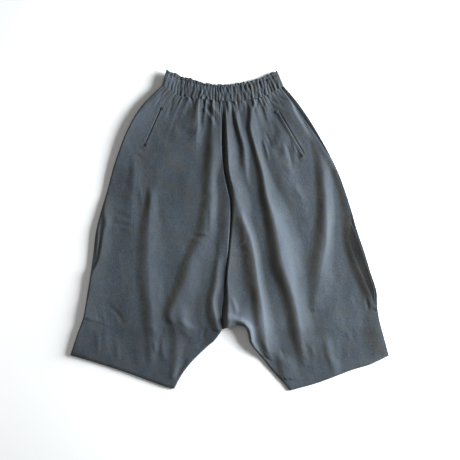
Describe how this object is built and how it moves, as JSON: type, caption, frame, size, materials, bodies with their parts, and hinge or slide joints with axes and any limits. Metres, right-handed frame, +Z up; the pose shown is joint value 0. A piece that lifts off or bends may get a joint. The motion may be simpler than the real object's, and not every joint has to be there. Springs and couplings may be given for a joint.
{
  "type": "harem pants",
  "caption": "Dropped-crotch harem pants laid flat, with an elastic gathered waistband, slanted welt pockets and side pleats above the hems.",
  "frame": {"origin": "centre of the bounding box on the surface the pants lie on", "axes": "+Y towards the waist, +X to the right seen from above, +Z up off the surface"},
  "size_m": [0.8588, 0.863, 0.0235],
  "materials": {
    "cloth": "matt plain-woven cotton in a greyed navy, softly creased"
  },
  "bodies": {
    "root": {"front_panel_left": "cloth", "front_panel_right": "cloth", "back_panel_left": "cloth", "back_panel_right": "cloth", "side_pleat_left": "cloth", "side_pleat_right": "cloth", "waistband_front": "cloth", "waistband_back": "cloth", "pocket_welt_left": "cloth", "pocket_welt_right": "cloth"}
  },
  "joints": []
}
